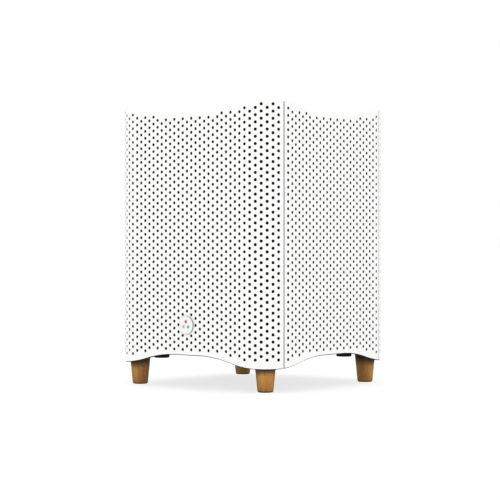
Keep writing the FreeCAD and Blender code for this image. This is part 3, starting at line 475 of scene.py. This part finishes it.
class PerforatedSheet:
    """Sheet with a cell of its own round each hole, so that every hole is a true round opening.

    Upright lines run midway between the columns. Lines and column middles carry points at every half row,
    so the staggered cells of neighbouring columns share their corners."""

    def __init__(self, corner_columns, end, skip=()):
        self.columns = hole_columns(corner_columns)
        self.end = end
        self.skip = skip
        self.verts, self.faces = [], []
        self.grid = {}
        middles = [s for s, _ in self.columns]
        inner = [(a + b) / 2 for a, b in zip(middles, middles[1:])]
        reach = middles[-1] + CORNER_PITCH / 2
        blank = [reach, reach + (end - reach) / 2] if end - reach > BLANK_LEAST else []
        self.lines = [-end] + [-b for b in reversed(blank)] + inner + blank + [end]
        self.blanks = len(blank)

    def levels(self, s):
        """Lowest and highest half row that lie well between the two edges at s."""
        low = math.ceil((bottom_edge(s) + CELL_LEAST - ROW_DATUM) / (ROW_PITCH / 2))
        high = math.floor((top_edge(s) - CELL_LEAST - ROW_DATUM) / (ROW_PITCH / 2))
        return low, high

    def point(self, s, level):
        """Index of the outer point at s on a half row, or on the edge if the half row is past it.

        The inner point comes next, and then, at an edge, the one below the broken outer edge."""
        low, high = self.levels(s)
        z, inset_z = row_height(level), 0.0
        if level > high:
            level, z, inset_z = math.inf, top_edge(s), -CHAMFER
        if level < low:
            level, z, inset_z = -math.inf, bottom_edge(s), CHAMFER
        key = (round(s / TINY), level)
        if key not in self.grid:
            inset_s = -math.copysign(CHAMFER, s) if abs(abs(s) - self.end) < TINY else 0.0
            self.grid[key] = len(self.verts)
            self.verts.append(wall_point(s + inset_s, z + inset_z, 0.0))
            self.verts.append(wall_point(s, z, SHEET))
            if inset_z or inset_s:
                self.verts.append(wall_point(s, z, CHAMFER))
        return self.grid[key]

    def face(self, outer):
        """A face of the outer skin and its twin on the inner one, from indices of outer points."""
        ring = [a for a, b in zip(outer, outer[1:] + outer[:1]) if a != b]
        if len(set(ring)) < 3:
            return
        self.faces.append(ring)
        self.faces.append([i + 1 for i in reversed(ring)])

    def opening(self, boundary, s, z, radius, angles):
        """Round hole with a broken outer edge inside a ring of boundary points, two hole points for each."""
        first = len(self.verts)
        count = len(angles)
        for r, depth in ((radius + CHAMFER, 0.0), (radius, SHEET), (radius, CHAMFER)):
            self.verts += [wall_point(s + r * math.cos(a), z + r * math.sin(a), depth) for a in angles]
        outer, inner, step = ([first + row * count + k for k in range(count)] for row in range(3))
        for k in range(len(boundary)):
            a, b = boundary[k], boundary[(k + 1) % len(boundary)]
            arc = [2 * k, 2 * k + 1, (2 * k + 2) % count]
            front = [a] + ([b] if b != a else []) + [outer[i] for i in reversed(arc)]
            back = [a + 1] + [inner[i] for i in arc] + ([b + 1] if b != a else [])
            self.faces += [front, back]
        for k in range(count):
            n = (k + 1) % count
            self.faces.append([outer[k], outer[n], step[n], step[k]])
            self.faces.append([step[k], step[n], inner[n], inner[k]])

    def holes(self, s, half_row):
        """Half-row numbers of the holes of a column."""
        below, above = EDGE_BOTTOM, EDGE_TOP
        if round(abs(s) / FLAT_PITCH) == SHORT_COLUMN and abs(s) < FLAT_HALF:
            below = above = SHORT_EDGE
        if abs(s) > FLAT_HALF:
            below = CORNER_EDGE_BOTTOM
        found = []
        for row in range(-ROWS_EACH_WAY, ROWS_EACH_WAY + 1):
            level = 2 * row + (1 if half_row else 0)
            if bottom_edge(s) + below <= row_height(level) <= top_edge(s) - above:
                found.append(level)
        return found

    def chain(self, s, start, end):
        """Indices of the points on a line between two half rows, either of which may be an edge."""
        low, high = self.levels(s)
        first = max(min(start, end), low - 1)
        last = min(max(start, end), high + 1)
        found = [self.point(s, level) for level in range(int(first), int(last) + 1)]
        return found if start <= end else found[::-1]

    def column(self, left, middle, right, half_row):
        """One column between its two lines: a cell round each hole, and the plain ends above and below."""
        levels = self.holes(middle, half_row)
        corners = [(left, -1), (left, 0), (left, 1), (middle, 1), (right, 1), (right, 0), (right, -1),
                   (middle, -1)]
        angles = [math.radians(225 - 360 * k / HOLE_SIDES) for k in range(HOLE_SIDES)]
        for level in levels:
            if (round(middle / FLAT_PITCH), level) not in self.skip:
                boundary = [self.point(s, level + step) for s, step in corners]
                self.opening(boundary, middle, row_height(level), HOLE_R, angles)
        for side, mirrored in ((left, False), (right, True)):
            for start, end in ((levels[-1] + 1, PAST_EDGE), (-PAST_EDGE, levels[0] - 1)):
                ring = self.chain(side, start, end) + [self.point(middle, end), self.point(middle, start)]
                self.face(ring[::-1] if mirrored else ring)

    def blank_strip(self, left, right):
        """Strip with no holes, cut at every half row."""
        low = min(self.levels(left)[0], self.levels(right)[0]) - 1
        high = max(self.levels(left)[1], self.levels(right)[1]) + 1
        for level in range(low, high):
            self.face([self.point(left, level), self.point(left, level + 1), self.point(right, level + 1),
                       self.point(right, level)])

    def border(self):
        """Broken outer edge and thickness all round the sheet."""
        middles = [s for s, _ in self.columns]
        across_all = sorted(self.lines + middles)
        loop = [self.point(s, -PAST_EDGE) for s in across_all]
        loop += self.chain(self.end, -PAST_EDGE, PAST_EDGE)[1:]
        loop += [self.point(s, PAST_EDGE) for s in reversed(across_all)][1:]
        loop += self.chain(-self.end, PAST_EDGE, -PAST_EDGE)[1:-1]
        for a, b in zip(loop, loop[1:] + loop[:1]):
            self.faces += [[b, a, a + 2, b + 2], [b + 2, a + 2, a + 1, b + 1]]

    def build(self, name):
        """The whole sheet as a mesh."""
        lines = self.lines
        for k in range(self.blanks):
            self.blank_strip(lines[k], lines[k + 1])
            self.blank_strip(lines[-k - 2], lines[-k - 1])
        for k, (middle, half_row) in enumerate(self.columns):
            self.column(lines[k + self.blanks], middle, lines[k + self.blanks + 1], half_row)
        self.border()
        mesh = bpy.data.meshes.new(name)
        mesh.from_pydata(self.verts, [], self.faces)
        mesh.validate()
        return mesh


def button_skip():
    """The seven cells that the button's hole takes the place of, as (column, half row)."""
    level = 2 * BUTTON_ROW
    return {(0, level + d) for d in (-2, 0, 2)} | {(k, level + d) for k in (-1, 1) for d in (-1, 1)}


def cut_button_hole(sheet):
    """Fill the space of the seven missing cells with one larger round hole."""
    pitch = FLAT_PITCH
    left = [(-1.5 * pitch, d) for d in (-2, -1, 0, 1, 2)]
    top = [(-pitch, 2), (-pitch / 2, 2), (-pitch / 2, 3), (0, 3), (pitch / 2, 3), (pitch / 2, 2), (pitch, 2)]
    ring = left + top
    ring += [(-s, -d) for s, d in ring]
    boundary = [sheet.point(s, 2 * BUTTON_ROW + d) for s, d in ring]
    ring_angles = [math.atan2(d * ROW_PITCH / 2, s) for s, d in ring]
    angles = []
    for a, b in zip(ring_angles, ring_angles[1:] + ring_angles[:1]):
        turn = (a - b) % (2 * math.pi)
        angles += [a, a - turn / 2]
    sheet.opening(boundary, 0.0, BUTTON_Z, BUTTON_HOLE_R, angles)


def make_panels():
    """Front and back sheets wrap the corners as far as the seams, and the side sheets lie between them."""
    for node, turn, body in PANELS:
        if node == "front_panel":
            sheet = PerforatedSheet(WRAPPED_COLUMNS, BEFORE_SEAM, button_skip())
            cut_button_hole(sheet)
        elif node == "back_panel":
            sheet = PerforatedSheet(WRAPPED_COLUMNS, BEFORE_SEAM)
        else:
            sheet = PerforatedSheet(PLAIN_COLUMNS, AFTER_SEAM)
        name = node.replace("panel", "sheet")
        mesh = sheet.build(name)
        mesh.transform(Matrix.Rotation(math.radians(turn), 4, "Z"))
        piece = bpy.data.objects.new(name, mesh)
        bpy.context.scene.collection.objects.link(piece)
        paint(piece, "shell_white")
        soften(piece)
        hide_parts(node)
        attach(piece, body)


make_camera()
make_stage()
paint_frame()
make_panels()
